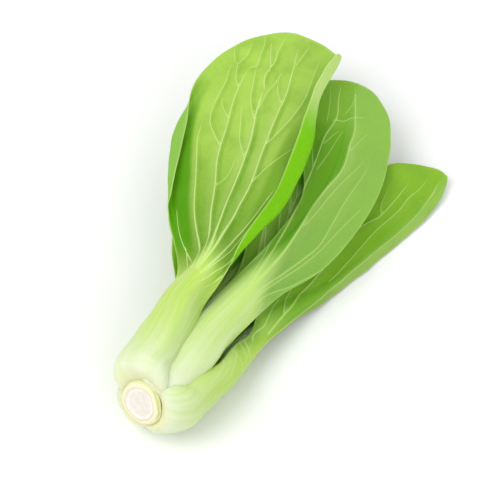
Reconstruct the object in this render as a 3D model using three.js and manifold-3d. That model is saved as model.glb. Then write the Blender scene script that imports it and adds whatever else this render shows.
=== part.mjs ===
// A head of bok choy lying on its side: a crown (the cut root end) and twelve leaves in four whorls.
// Millimetres, +Z up. The cut end faces -Y, the leaf tips point to +Y, and the head rests on z = 0.
import * as THREE from 'three';
import { mergeVertices } from 'three/addons/utils/BufferGeometryUtils.js';
import Module from 'manifold-3d';

const wasm = await Module();
wasm.setup();

const DEGREE = Math.PI / 180;
const REST_HEIGHT = 0;          // nothing reaches below the surface that the head lies on
const NEIGHBOUR_GAP = 0.4;      // left between a piece and every piece trimmed before it
const BLADE_HALF_THICKNESS = 0.35;
const STALK_HALF_THICKNESS = 0.75;
const ARC_STEPS = 40;           // steps used to walk from the rib to a margin
const FOLD_SPAN = 0.14;         // part of a leaf's half width over which a folded margin turns
const ROW_BUNCHING = 1.35;      // above 1, a leaf's rows are closer together at its root

// The centreline of the bulb: depth from the cut, then x, y, z.
const CENTRELINE = [
  [0, 0.5, -27.5, 27.4],
  [4, 1.1, -24, 25.6],
  [11.4, 1.8, -16.8, 24.2],
  [22.6, 3, -5.7, 24],
  [39.6, 4.4, 11.2, 24.6],
  [67.6, 5, 39.2, 25],
];

// Each whorl wraps the bulb at its own radius: [depth, radius of the leaf sheet, height of the stalk's back].
// The second-whorl leaf that fills the gap between two outer leaves swells out to join them.
const WHORLS = {
  outer: [[2.4, 10.9, 0.6], [4.2, 12.6, 2.4], [7.6, 14.8, 4.8], [12, 16.2, 6.2], [19, 16.6, 6.4]],
  swollen: [[6, 7, 2.4], [7.4, 9.2, 3.8], [10.5, 11.4, 4.2], [15, 12.6, 4.4], [22, 13, 4.4]],
  second: [[6.8, 5.2, 2], [7.9, 7.2, 3], [10.5, 9, 4.4], [15, 10, 5], [22, 10.5, 5.2]],
  third: [[10, 2.6, 1.5], [11.3, 4, 2.4], [14, 5, 3.4], [18, 5.5, 4], [24, 5.8, 4.2]],
  heart: [[13, 1.6, 0.6], [14, 2.2, 1], [16, 2.6, 1.4], [19, 3, 1.6], [24, 3.2, 1.8]],
};

// The crown: [depth from the cut, radius], on an axis that rises towards the cut.
const CROWN_PROFILE = [
  [0, 0], [0, 8], [0.2, 9.2], [0.8, 10.2], [2, 10.6], [3.4, 10.1], [5, 8.6], [8, 6], [13, 2.5], [14, 0],
];
const CROWN_FACING = new THREE.Vector3(-0.14, -0.88, 0.46);
const CROWN_SEGMENTS = 40;

// Places across a leaf, a little closer together towards the margins.
function even(columns) {
  const places = Array.from({ length: columns + 1 }, (_, i) => (2 * i) / columns - 1);
  return places.map((place) => 0.65 * place + 0.35 * Math.sin((place * Math.PI) / 2));
}

// Where the columns of a folded leaf stand, close together at its folds.
const FOLDED_COLUMNS = [
  -1, -0.95, -0.91, -0.88, -0.85, -0.82, -0.77, -0.5, -0.25,
  0, 0.25, 0.5, 0.67, 0.72, 0.75, 0.79, 0.84, 0.92, 1,
];

// Leaves, outermost first. "facing" is the angle of the leaf's back round the head, from the top towards +X.
// "left" and "right" are the angles that its base spans. "tips" are how far behind the tip the left and the
// right margins end. "folds" are where across the left and the right half width a margin starts to turn over.
// A station is [x, y, z of the rib, turn, left width, right width, bow (degrees per 10 mm), left curl,
// right curl, height of the stalk's back, half width of the stalk].
const LEAVES = [
  {
    name: 'leaf_outer_top', color: 0x9fc657, whorl: 'outer', facing: -22,
    columns: FOLDED_COLUMNS, rows: 22, tips: [37, 13], folds: [0.8, 0.7],
    left: [84, 84, 84, 82, 76], right: [59, 59, 56, 46, 36],
    stations: [
      [-4, 8, 41, -20, 15, 11, 33, 0, 0, 6.6, 18],
      [-6, 22, 40, -20, 14, 10, 30, 0, 0, 6.8, 16],
      [-6, 36, 39, -16, 14, 10, 18, 0, 20, 6.5, 12],
      [-8, 55, 40, -10, 23, 16, 5, 20, 120, 4, 7],
      [-14, 80, 43, -5, 37, 32, 2, 150, 190, 1.4, 3],
      [-21, 110, 46, 0, 43, 36, 2, 180, 170, 0.7, 1.6],
      [-29, 137, 46, 0, 35, 33, 2, 40, 130, 0.5, 1.2],
      [-33, 160, 46, 0, 28, 33, 2, 0, 120, 0.3, 1],
      [-35, 180, 43, 0, 20, 31, 2, 0, 110, 0.2, 0.8],
    ],
  },
  {
    name: 'leaf_outer_right', color: 0x6fa544, whorl: 'outer', facing: 104,
    columns: even(10), rows: 20, tips: [26, 26], folds: [0.6, 0.6],
    left: [77, 76, 73, 67, 52], right: [60, 60, 60, 56, 46],
    stations: [
      [21, 8, 18, 106, 10, 11, 33, 0, 0, 7.4, 14],
      [22, 20, 16, 92, 8, 9, 30, 0, 0, 7, 12],
      [24, 34, 15, 75, 5, 8, 22, 0, 0, 6, 11],
      [26, 42, 14, 71, 13, 8, 20, 0, 0, 5, 9],
      [29, 55, 11, 62, 19, 7, 14, 0, 0, 4.2, 7],
      [37, 78, 7, 52, 24, 6, 14, 0, 0, 1.8, 3],
      [45, 105, 6, 46, 26, 6, 12, 0, 0, 0.9, 1.8],
      [52, 130, 6, 44, 28, 6, 12, 0, 0, 0.6, 1.4],
      [56, 150, 7, 42, 25, 6, 10, 0, 0, 0.4, 1.1],
      [57, 165, 6, 40, 17, 5, 10, 0, 0, 0.2, 0.8],
    ],
  },
  {
    name: 'leaf_outer_under', color: 0x87b455, whorl: 'outer', facing: 214,
    columns: even(10), rows: 20, tips: [28, 28], folds: [0.6, 0.6],
    left: [50, 50, 50, 50, 46], right: [36, 36, 36, 38, 40],
    stations: [
      [-5, 8, 11, 212, 13, 13, 33, 0, 0, 7.4, 17],
      [-7, 22, 11, 205, 11, 11, 30, 0, 0, 7, 14],
      [-9, 36, 10, 196, 12, 12, 18, 0, 0, 6, 11],
      [-12, 55, 7, 188, 20, 20, 5, 0, 0, 4.5, 8],
      [-17, 78, 4, 184, 27, 27, 2, 0, 0, 3, 5],
      [-23, 105, 3, 182, 31, 31, 1, 0, 0, 2, 4],
      [-28, 130, 2, 180, 30, 30, 1, 0, 0, 1.4, 3],
      [-32, 152, 3, 180, 25, 25, 1, 0, 0, 0.6, 2],
      [-34, 172, 5, 180, 20, 20, 1, 0, 0, 0.2, 1.5],
    ],
  },
  {
    name: 'leaf_second_top', color: 0x7dac4b, whorl: 'swollen', facing: 28,
    columns: even(12), rows: 20, tips: [22, 22], folds: [0.6, 0.6],
    left: [62, 62, 60, 55, 50], right: [62, 62, 60, 55, 50],
    stations: [
      [10, 4, 37, 28, 10, 14, 34, 0, 0, 4.8, 13],
      [11, 16, 36, 27, 10, 12, 34, 0, 0, 5.2, 13],
      [13, 34, 33, 22, 10, 11, 30, 0, 0, 5.4, 12],
      [15, 55, 32, 18, 8, 13, 10, 0, 0, 4, 8],
      [17, 78, 31, 15, 7, 20, 5, 20, 0, 1.8, 3.6],
      [18, 105, 32, 15, 9, 23, 3, 20, 0, 0.8, 1.7],
      [15, 130, 32, 15, 21, 24, 3, 20, 0, 0.6, 1.2],
      [7, 155, 32, 12, 27, 22, 3, 10, 0, 0.4, 1],
      [0, 177, 30, 10, 24, 18, 3, 0, 0, 0.2, 0.8],
    ],
  },
  {
    name: 'leaf_second_under', color: 0x7aa648, whorl: 'second', facing: 160,
    columns: even(8), rows: 16, tips: [24, 24], folds: [0.6, 0.6],
    left: [60, 60, 60, 56, 50], right: [60, 60, 60, 56, 50],
    stations: [
      [7, 6, 14, 160, 10, 10, 42, 0, 0, 5.8, 12],
      [9, 20, 13, 165, 9, 9, 36, 0, 0, 5.8, 12],
      [11, 36, 11, 168, 9, 9, 28, 0, 0, 5.2, 11],
      [13, 55, 9, 172, 12, 14, 10, 0, 0, 4.2, 8],
      [16, 78, 6, 176, 16, 20, 4, 0, 0, 2.8, 6],
      [20, 101, 4, 178, 19, 24, 2, 0, 0, 1.8, 4],
      [24, 122, 4, 180, 20, 23, 2, 0, 0, 1.2, 3],
      [27, 140, 4, 180, 18, 19, 2, 0, 0, 0.6, 2],
      [29, 155, 5, 180, 14, 15, 2, 0, 0, 0.2, 1.5],
    ],
  },
  {
    name: 'leaf_second_left', color: 0x7ba84a, whorl: 'second', facing: -88,
    columns: even(8), rows: 16, tips: [22, 22], folds: [0.6, 0.6],
    left: [60, 60, 60, 56, 50], right: [60, 60, 60, 56, 50],
    stations: [
      [-8, 6, 26, -86, 9, 9, 42, 0, 0, 5.6, 12],
      [-10, 20, 26, -80, 8, 8, 36, 0, 0, 5.6, 11],
      [-12, 36, 25, -70, 9, 9, 26, 0, 0, 4.8, 10],
      [-15, 55, 24, -58, 14, 14, 12, 0, 0, 3.8, 7],
      [-22, 78, 24, -45, 20, 20, 8, 0, 0, 2.4, 5],
      [-29, 100, 26, -35, 22, 22, 6, 0, 0, 1.5, 4],
      [-34, 120, 27, -28, 19, 19, 6, 0, 0, 0.9, 3],
      [-38, 140, 27, -22, 15, 15, 6, 0, 0, 0.2, 1.5],
    ],
  },
  {
    name: 'leaf_third_top', color: 0x6d9f3f, whorl: 'third', facing: -12,
    columns: even(10), rows: 18, tips: [18, 18], folds: [0.6, 0.6],
    left: [70, 70, 70, 66, 60], right: [70, 70, 70, 66, 60],
    stations: [
      [4, 6, 34, -5, 8, 8, 45, 0, 0, 4.6, 10],
      [5, 18, 32, 0, 8, 8, 40, 0, 0, 4.2, 10],
      [8, 34, 28, 10, 7, 8, 30, 0, 0, 3.4, 8],
      [11, 55, 27, 20, 8, 10, 10, 0, 0, 2.6, 6],
      [10, 78, 28, 28, 14, 12, 4, 0, 0, 1.8, 5],
      [7, 100, 29, 28, 20, 14, 3, 0, 0, 1.4, 4],
      [4, 122, 29, 20, 22, 16, 3, 0, 0, 0.8, 3],
      [0, 145, 28, 10, 20, 18, 3, 0, 0, 0.3, 2],
    ],
  },
  {
    name: 'leaf_third_right', color: 0x6d9f3f, whorl: 'third', facing: 96,
    columns: even(8), rows: 16, tips: [18, 18], folds: [0.6, 0.6],
    left: [66, 66, 66, 60, 54], right: [66, 66, 66, 60, 54],
    stations: [
      [11, 6, 24, 95, 7, 7, 50, 0, 0, 4.4, 9],
      [13, 20, 23, 85, 7, 7, 40, 0, 0, 4.6, 9],
      [15, 36, 20, 70, 6, 6, 30, 0, 0, 4, 8],
      [16, 54, 18, 50, 8, 8, 14, 0, 0, 3, 6],
      [17, 74, 17, 34, 11, 10, 8, 0, 0, 1.9, 4],
      [18, 92, 16, 26, 12, 11, 7, 0, 0, 1.2, 3],
      [19, 108, 16, 24, 11, 10, 7, 0, 0, 0.7, 2.5],
      [20, 124, 16, 22, 9, 8, 7, 0, 0, 0.2, 1.5],
    ],
  },
  {
    name: 'leaf_third_under', color: 0x6d9f3f, whorl: 'third', facing: 212,
    columns: even(8), rows: 16, tips: [18, 18], folds: [0.6, 0.6],
    left: [66, 66, 66, 60, 54], right: [66, 66, 66, 60, 54],
    stations: [
      [1, 6, 20, 210, 7, 7, 50, 0, 0, 4.4, 9],
      [0, 20, 19, 205, 7, 7, 40, 0, 0, 4.6, 9],
      [-1, 36, 18, 200, 7, 7, 28, 0, 0, 4, 8],
      [-3, 54, 16, 195, 12, 12, 12, 0, 0, 3, 6],
      [-7, 74, 14, 190, 17, 17, 6, 0, 0, 1.9, 4],
      [-12, 94, 13, 186, 19, 19, 5, 0, 0, 1.2, 3],
      [-16, 112, 13, 183, 17, 17, 5, 0, 0, 0.7, 2.5],
      [-19, 130, 14, 180, 13, 13, 5, 0, 0, 0.2, 1.5],
    ],
  },
  {
    name: 'leaf_heart_large', color: 0x93bd5a, whorl: 'heart', facing: -20,
    columns: even(8), rows: 14, tips: [14, 14], folds: [0.6, 0.6],
    left: [60, 60, 60, 60, 60], right: [60, 60, 60, 60, 60],
    stations: [
      [3, 8, 28, -20, 3, 3, 60, 0, 0, 2, 5],
      [2, 22, 27, -15, 4, 4, 60, 0, 0, 2, 5],
      [1, 38, 26, -10, 5, 5, 50, 0, 0, 1.8, 5],
      [1, 54, 24, -5, 9, 9, 30, 0, 0, 1.6, 4],
      [1, 70, 22, 0, 12, 12, 22, 0, 0, 1, 3],
      [0, 84, 22, 0, 12, 12, 18, 0, 0, 0.6, 2.5],
      [-1, 98, 22, 0, 9, 9, 16, 0, 0, 0.2, 1.5],
    ],
  },
  {
    name: 'leaf_heart_middle', color: 0x9cc463, whorl: 'heart', facing: 120,
    columns: even(8), rows: 14, tips: [12, 12], folds: [0.6, 0.6],
    left: [58, 58, 58, 58, 58], right: [58, 58, 58, 58, 58],
    stations: [
      [6, 8, 24, 120, 3, 3, 60, 0, 0, 2, 5],
      [7, 22, 23, 130, 4, 4, 60, 0, 0, 2, 5],
      [7, 38, 20, 148, 4, 5, 50, 0, 0, 1.8, 5],
      [7, 52, 17, 165, 5, 6, 32, 0, 0, 1.5, 4],
      [6, 66, 16, 172, 7, 7, 24, 0, 0, 0.9, 3],
      [5, 78, 16, 175, 7, 6, 20, 0, 0, 0.5, 2.5],
      [4, 90, 16, 178, 5, 5, 18, 0, 0, 0.2, 1.5],
    ],
  },
  {
    name: 'leaf_heart_small', color: 0xa8cc70, whorl: 'heart', facing: -140,
    columns: even(6), rows: 12, tips: [9, 9], folds: [0.6, 0.6],
    left: [56, 56, 56, 56, 56], right: [56, 56, 56, 56, 56],
    stations: [
      [1, 8, 22, -140, 3, 3, 60, 0, 0, 1.6, 4],
      [0, 20, 21, -150, 3, 3, 60, 0, 0, 1.6, 4],
      [-2, 34, 19, -162, 3, 4, 50, 0, 0, 1.5, 4],
      [-4, 46, 18, -172, 4, 4, 32, 0, 0, 1.4, 3],
      [-5, 58, 17, -176, 5, 5, 24, 0, 0, 0.8, 3],
      [-5, 68, 17, -178, 4, 4, 20, 0, 0, 0.2, 1.5],
    ],
  },
];

const clamp = (value, low, high) => Math.min(Math.max(value, low), high);
const mix = (a, b, amount) => a + (b - a) * amount;

function ease(value) {
  const x = clamp(value, 0, 1);
  return x * x * (3 - 2 * x);
}

// A smooth curve through values at uneven places; at its ends it keeps the slope of the end span.
function makeCurve(places, values) {
  const last = places.length - 1;
  const widths = places.slice(1).map((place, i) => place - places[i]);
  const slopes = widths.map((width, i) => (values[i + 1] - values[i]) / width);
  const tangents = values.map((_, i) => {
    if (i === 0) return slopes[0];
    if (i === last) return slopes[last - 1];
    return (slopes[i - 1] * widths[i] + slopes[i] * widths[i - 1]) / (widths[i - 1] + widths[i]);
  });
  return (place) => {
    const at = clamp(place, places[0], places[last]);
    let i = 0;
    while (i < last - 1 && at >= places[i + 1]) i += 1;
    const w = widths[i];
    const f = (at - places[i]) / w;
    return ((2 * f - 3) * f * f + 1) * values[i] + ((f - 2) * f + 1) * f * w * tangents[i]
      + (3 - 2 * f) * f * f * values[i + 1] + (f - 1) * f * f * w * tangents[i + 1];
  };
}

const column = (rows, index) => rows.map((row) => row[index]);

function makePath(places, points) {
  const curves = [0, 1, 2].map((axis) => makeCurve(places, column(points, axis)));
  return (place) => new THREE.Vector3(...curves.map((curve) => curve(place)));
}

function directionOf(path, place, low, high, step) {
  return path(Math.min(place + step, high)).sub(path(Math.max(place - step, low))).normalize();
}

const bulbDepths = column(CENTRELINE, 0);
const bulbCentre = makePath(bulbDepths, CENTRELINE.map((row) => row.slice(1)));
const BULB_END = bulbDepths[bulbDepths.length - 1];

// The point, along, and outward directions on the bulb at a depth and an angle around it.
function bulbFrame(depth, angle) {
  const along = directionOf(bulbCentre, depth, 0, BULB_END, 0.2);
  const side = along.clone().cross(new THREE.Vector3(0, 0, 1)).normalize();
  const top = side.clone().cross(along);
  const outward = side.multiplyScalar(Math.sin(angle)).addScaledVector(top, Math.cos(angle));
  return { centre: bulbCentre(clamp(depth, 0, BULB_END)), along, outward };
}

// The rows of a leaf from its root to its tip: the bulb's own rows first, then the leaf's stations.
function leafRows(leaf) {
  const base = WHORLS[leaf.whorl].map(([depth, radius, back], i) => {
    const { centre, outward } = bulbFrame(depth, leaf.facing * DEGREE);
    const left = leaf.left[i] * DEGREE * radius;
    const right = leaf.right[i] * DEGREE * radius;
    const bow = 10 / radius / DEGREE;
    const root = centre.addScaledVector(outward, radius);
    return [...root.toArray(), leaf.facing, left, right, bow, 0, 0, back, 1.05 * Math.max(left, right)];
  });
  return [...base, ...leaf.stations];
}

// Everything about a leaf that depends only on the place along it, which runs from 0 to 1.
function describeLeaf(leaf) {
  const rows = leafRows(leaf);
  const points = rows.map((row) => new THREE.Vector3(...row));
  const lengths = [0];
  for (let i = 1; i < rows.length; i += 1) lengths.push(lengths[i - 1] + points[i].distanceTo(points[i - 1]));
  const length = lengths[rows.length - 1];
  const places = lengths.map((value) => value / length);
  const whorl = WHORLS[leaf.whorl];
  const onBulb = whorl.length;
  const [lastDepth, lastRadius] = whorl[onBulb - 1];
  const bulbPlaces = [...places.slice(0, onBulb), 1.5];
  const endDepth = lastDepth + (1.5 - places[onBulb - 1]) * length;
  const names = ['turn', 'left', 'right', 'bow', 'curlLeft', 'curlRight', 'back', 'stalk'];
  const curves = Object.fromEntries(names.map((name, i) => [name, makeCurve(places, column(rows, i + 3))]));
  return {
    ...curves,
    tips: leaf.tips.map((fall) => fall / length),
    folds: leaf.folds,
    facing: leaf.facing,
    rib: makePath(places, rows.map((row) => row.slice(0, 3))),
    depth: makeCurve(bulbPlaces, [...column(whorl, 0), endDepth]),
    radius: makeCurve(bulbPlaces, [...column(whorl, 1), lastRadius]),
    leftSpan: makeCurve(places.slice(0, onBulb), leaf.left),
    rightSpan: makeCurve(places.slice(0, onBulb), leaf.right),
    leavesBulb: (place) => ease((place - places[onBulb - 2]) / (places[onBulb] - places[onBulb - 2])),
    softens: (place) => ease((place - places[onBulb - 1]) / (places[onBulb + 2] - places[onBulb - 1])),
  };
}

// The sheet wrapped round the bulb: a point and its outward direction.
function bulbSheet(shape, across, place, grow) {
  const span = across < 0 ? shape.leftSpan(place) : shape.rightSpan(place);
  const radius = shape.radius(place);
  const angle = (shape.facing + across * span) * DEGREE + (across * grow) / Math.max(radius, 4);
  const { centre, along, outward } = bulbFrame(shape.depth(place), angle);
  const step = 0.001;
  const rise = shape.radius(place + step) - shape.radius(place - step);
  const run = shape.depth(place + step) - shape.depth(place - step);
  const normal = outward.clone().multiplyScalar(run).addScaledVector(along, -rise).normalize();
  return { point: centre.addScaledVector(outward, radius), normal };
}

// The free blade: an arc walked from the rib to the margin, bowed by "bow" and folded over by "curl".
function bladeSheet(shape, across, place, grow) {
  const along = directionOf(shape.rib, place, 0, 1, 0.001);
  const turn = shape.turn(place) * DEGREE;
  const side = new THREE.Vector3(Math.cos(turn), 0, -Math.sin(turn));
  side.addScaledVector(along, -side.dot(along)).normalize();
  const up = side.clone().cross(along);
  const hand = across < 0 ? -1 : 1;
  const width = (across < 0 ? shape.left(place) : shape.right(place)) + grow;
  const curl = (across < 0 ? shape.curlLeft(place) : shape.curlRight(place)) * DEGREE;
  const bow = (shape.bow(place) * DEGREE) / 10;
  const fold = across < 0 ? shape.folds[0] : shape.folds[1];
  const slope = (v) => -bow * v * width + curl * ease((v - fold) / FOLD_SPAN);
  const reach = Math.abs(across);
  let out = 0;
  let lift = 0;
  for (let i = 0; i < ARC_STEPS; i += 1) {
    const angle = slope((reach * (i + 0.5)) / ARC_STEPS);
    out += (Math.cos(angle) * reach * width) / ARC_STEPS;
    lift += (Math.sin(angle) * reach * width) / ARC_STEPS;
  }
  const end = slope(reach);
  const point = shape.rib(place).addScaledVector(side, out * hand).addScaledVector(up, lift);
  const normal = side.multiplyScalar(-Math.sin(end) * hand).addScaledVector(up, Math.cos(end));
  return { point, normal };
}

// A point on a leaf: across runs from -1 to 1, along from 0 to 1; face is 1 on the back and -1 on the front.
function leafPoint(shape, across, along, face, grow) {
  const roundness = 1 - Math.sqrt(clamp(1 - across * across, 0, 1));
  const fall = roundness * (across < 0 ? shape.tips[0] : shape.tips[1]);
  const place = clamp(along - fall * ease((along - 0.45) / 0.55), 0, 1);
  const bulb = bulbSheet(shape, across, place, grow);
  const blade = bladeSheet(shape, across, place, grow);
  const free = shape.leavesBulb(place);
  const soft = shape.softens(place);
  const normal = bulb.normal.lerp(blade.normal, free).normalize();
  const width = (across < 0 ? shape.left(place) : shape.right(place)) + grow;
  const stalk = clamp(shape.stalk(place), 0.1, 1.03 * width);
  const offRib = clamp((Math.abs(across) * width) / stalk, 0, 1);
  const back = shape.back(place) * (1 - offRib ** (4 - 2 * soft)) ** (0.8 + 0.8 * soft);
  const half = mix(STALK_HALF_THICKNESS, BLADE_HALF_THICKNESS, soft) + grow;
  const point = bulb.point.lerp(blade.point, free).addScaledVector(normal, face > 0 ? half + back : -half);
  point.z = Math.max(point.z, REST_HEIGHT - grow);
  return point;
}

// A closed slab: the back and the front of the leaf, stitched round the margins.
function leafGeometry(leaf, grow) {
  const shape = describeLeaf(leaf);
  const { rows } = leaf;
  const columns = leaf.columns.length - 1;
  const positions = [];
  const index = [];
  const id = (face, row, col) => (face * (rows + 1) + row) * (columns + 1) + col;
  for (const face of [1, -1]) {
    for (let row = 0; row <= rows; row += 1) {
      const along = (row / rows) ** ROW_BUNCHING;
      for (const across of leaf.columns) positions.push(...leafPoint(shape, across, along, face, grow));
    }
  }
  const quad = (a, b, c, d) => index.push(a, b, c, a, c, d);
  for (let row = 0; row < rows; row += 1) {
    for (let col = 0; col < columns; col += 1) {
      quad(id(0, row, col), id(0, row, col + 1), id(0, row + 1, col + 1), id(0, row + 1, col));
      quad(id(1, row, col), id(1, row + 1, col), id(1, row + 1, col + 1), id(1, row, col + 1));
    }
    quad(id(0, row, 0), id(0, row + 1, 0), id(1, row + 1, 0), id(1, row, 0));
    quad(id(0, row + 1, columns), id(0, row, columns), id(1, row, columns), id(1, row + 1, columns));
  }
  for (let col = 0; col < columns; col += 1) {
    quad(id(0, 0, col + 1), id(0, 0, col), id(1, 0, col), id(1, 0, col + 1));
    quad(id(0, rows, col), id(0, rows, col + 1), id(1, rows, col + 1), id(1, rows, col));
  }
  const geometry = new THREE.BufferGeometry();
  geometry.setAttribute('position', new THREE.Float32BufferAttribute(positions, 3));
  geometry.setIndex(index);
  return geometry;
}

function crownGeometry(grow) {
  const outline = CROWN_PROFILE.map(([depth, radius]) => {
    const out = radius === 0 ? 0 : radius + grow;
    return new THREE.Vector2(out, depth + (depth === 0 ? -grow : grow));
  });
  const geometry = new THREE.LatheGeometry(outline, CROWN_SEGMENTS);
  const inward = CROWN_FACING.clone().normalize().negate();
  geometry.applyQuaternion(new THREE.Quaternion().setFromUnitVectors(new THREE.Vector3(0, 1, 0), inward));
  geometry.translate(...bulbCentre(0).toArray());
  return geometry;
}

function toSolid(geometry) {
  const plain = geometry.clone();
  plain.deleteAttribute('normal');
  plain.deleteAttribute('uv');
  const merged = mergeVertices(plain, 1e-4);
  const vertProperties = new Float32Array(merged.attributes.position.array);
  const triVerts = new Uint32Array(merged.index.array);
  return new wasm.Manifold(new wasm.Mesh({ numProp: 3, vertProperties, triVerts }));
}

// What a cut leaves behind may be several bits; the leaf is the biggest of them.
function biggestBit(solid) {
  const bits = solid.decompose();
  return bits.reduce((best, bit) => (bit.volume() > best.volume() ? bit : best));
}

function toGeometry(solid) {
  const { vertProperties, triVerts } = solid.getMesh();
  const geometry = new THREE.BufferGeometry();
  geometry.setAttribute('position', new THREE.BufferAttribute(new Float32Array(vertProperties), 3));
  geometry.setIndex(new THREE.BufferAttribute(new Uint32Array(triVerts), 1));
  geometry.computeVertexNormals();
  return geometry;
}

function addPiece(group, name, solid, color, roughness) {
  const material = new THREE.MeshStandardMaterial({ color, roughness, metalness: 0 });
  const mesh = new THREE.Mesh(toGeometry(solid), material);
  mesh.name = name;
  group.add(mesh);
}

function buildHead() {
  const head = new THREE.Group();
  addPiece(head, 'crown', toSolid(crownGeometry(0)), 0xe9ead9, 0.6);
  const taken = [toSolid(crownGeometry(NEIGHBOUR_GAP))];
  for (const leaf of LEAVES) {
    let solid = toSolid(leafGeometry(leaf, 0));
    for (const neighbour of taken) solid = solid.subtract(neighbour);
    addPiece(head, leaf.name, biggestBit(solid), leaf.color, 0.4);
    taken.push(toSolid(leafGeometry(leaf, NEIGHBOUR_GAP)));
  }
  const box = new THREE.Box3().setFromObject(head);
  const middle = box.getCenter(new THREE.Vector3());
  head.position.set(-middle.x, -middle.y, -box.min.z);
  return head;
}

export default buildHead();
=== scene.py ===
"""A head of bok choy lying on its side: a cut crown and twelve leaves, on a pale studio floor."""

import math

import bmesh
import bpy
import numpy as np
from mathutils import Matrix, Vector


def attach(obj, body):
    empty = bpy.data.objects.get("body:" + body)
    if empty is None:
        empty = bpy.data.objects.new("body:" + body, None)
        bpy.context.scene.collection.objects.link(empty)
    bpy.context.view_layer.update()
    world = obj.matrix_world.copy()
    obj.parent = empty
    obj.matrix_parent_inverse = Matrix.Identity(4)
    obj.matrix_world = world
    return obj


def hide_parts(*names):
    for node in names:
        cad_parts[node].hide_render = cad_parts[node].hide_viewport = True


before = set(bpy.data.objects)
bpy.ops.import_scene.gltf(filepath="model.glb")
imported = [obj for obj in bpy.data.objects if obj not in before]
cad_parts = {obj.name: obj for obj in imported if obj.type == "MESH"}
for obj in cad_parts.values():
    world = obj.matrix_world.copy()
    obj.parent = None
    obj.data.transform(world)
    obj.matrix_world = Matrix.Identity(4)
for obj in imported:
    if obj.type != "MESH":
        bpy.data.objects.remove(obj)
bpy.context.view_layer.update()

MM = 0.001  # the leaves are drawn in millimetres
DEGREE = math.pi / 180
ARC_STEPS = 40
FOLD_SPAN = 0.14  # part of a leaf's half width over which a folded margin turns
ROW_BUNCHING = 1.08  # above 1, a leaf's rows are a little closer together at its root
SLOPE_STEP = 0.001  # of a leaf's length, for finding how it runs at a place
PAST_THE_TIP = 1.5  # of a leaf's length, where the bulb's measurements are carried on to

# ---- the head's measurements, in millimetres

CROWN_FACING = (-0.14, -0.88, 0.46)
REST_HEIGHT = 0.0
STALK_HALF_THICKNESS = 0.75
BLADE_HALF_THICKNESS = 0.24
RIM_HALF_THICKNESS = 0.07
RIM_ROUNDING = 0.6  # how far in from its edge a leaf thins towards the rim
RIM_PALE_LINE = 0.9
OUTER_SEAT = 0.9  # how deep an outer leaf's root sits in the crown's side
STALK_RIBBING = 0.08  # height of the fibres along a stalk
SWELL_HEIGHT, SWELL_SIZE = 0.7, 45  # broad rises and dips of a blade
QUILT_SIZE = 13  # between the puckers of a blade
VEIN_FOOT = 1.3  # half width of the steep side of a vein's pleat
PLEAT_WIDTH = 4.5  # half width of its gentle side
THINNEST_VEIN = 0.32
VEIN_ROOT_SWELL = 0.8  # how much wider a vein is where the blade starts
VEIN_ROOT_RUN = 48  # over which it thins to its own width
VEIN_REACH = 4  # beyond this from a vein, its distance isn't kept

# The bulb's centreline: depth from the cut, then x, y, z.
CENTRELINE = [
    (0, 0.5, -27.5, 27.4),
    (4, 1.1, -24, 25.6),
    (11.4, 1.8, -16.8, 24.2),
    (22.6, 3, -5.7, 24),
    (39.6, 4.4, 11.2, 24.6),
    (67.6, 5, 39.2, 25),
]
CUT_CENTRE = CENTRELINE[0][1:]

# Where each whorl wraps the bulb: depth, radius of the leaf sheet, height of the stalk's back.
WHORLS = {
    "outer": [(2.4, 10.9, 0.6), (4.2, 12.6, 2.4), (7.6, 14.8, 4.8), (12, 16.2, 6.2), (19, 16.6, 6.4)],
    "swollen": [(6, 7, 2.4), (7.4, 9.2, 3.8), (10.5, 11.4, 4.2), (15, 12.6, 4.4), (22, 13, 4.4)],
    "second": [(6.8, 5.2, 2), (7.9, 7.2, 3), (10.5, 9, 4.4), (15, 10, 5), (22, 10.5, 5.2)],
    "third": [(10, 2.6, 1.5), (11.3, 4, 2.4), (14, 5, 3.4), (18, 5.5, 4), (24, 5.8, 4.2)],
    "heart": [(13, 1.6, 0.6), (14, 2.2, 1), (16, 2.6, 1.4), (19, 3, 1.6), (24, 3.2, 1.8)],
}

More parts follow.
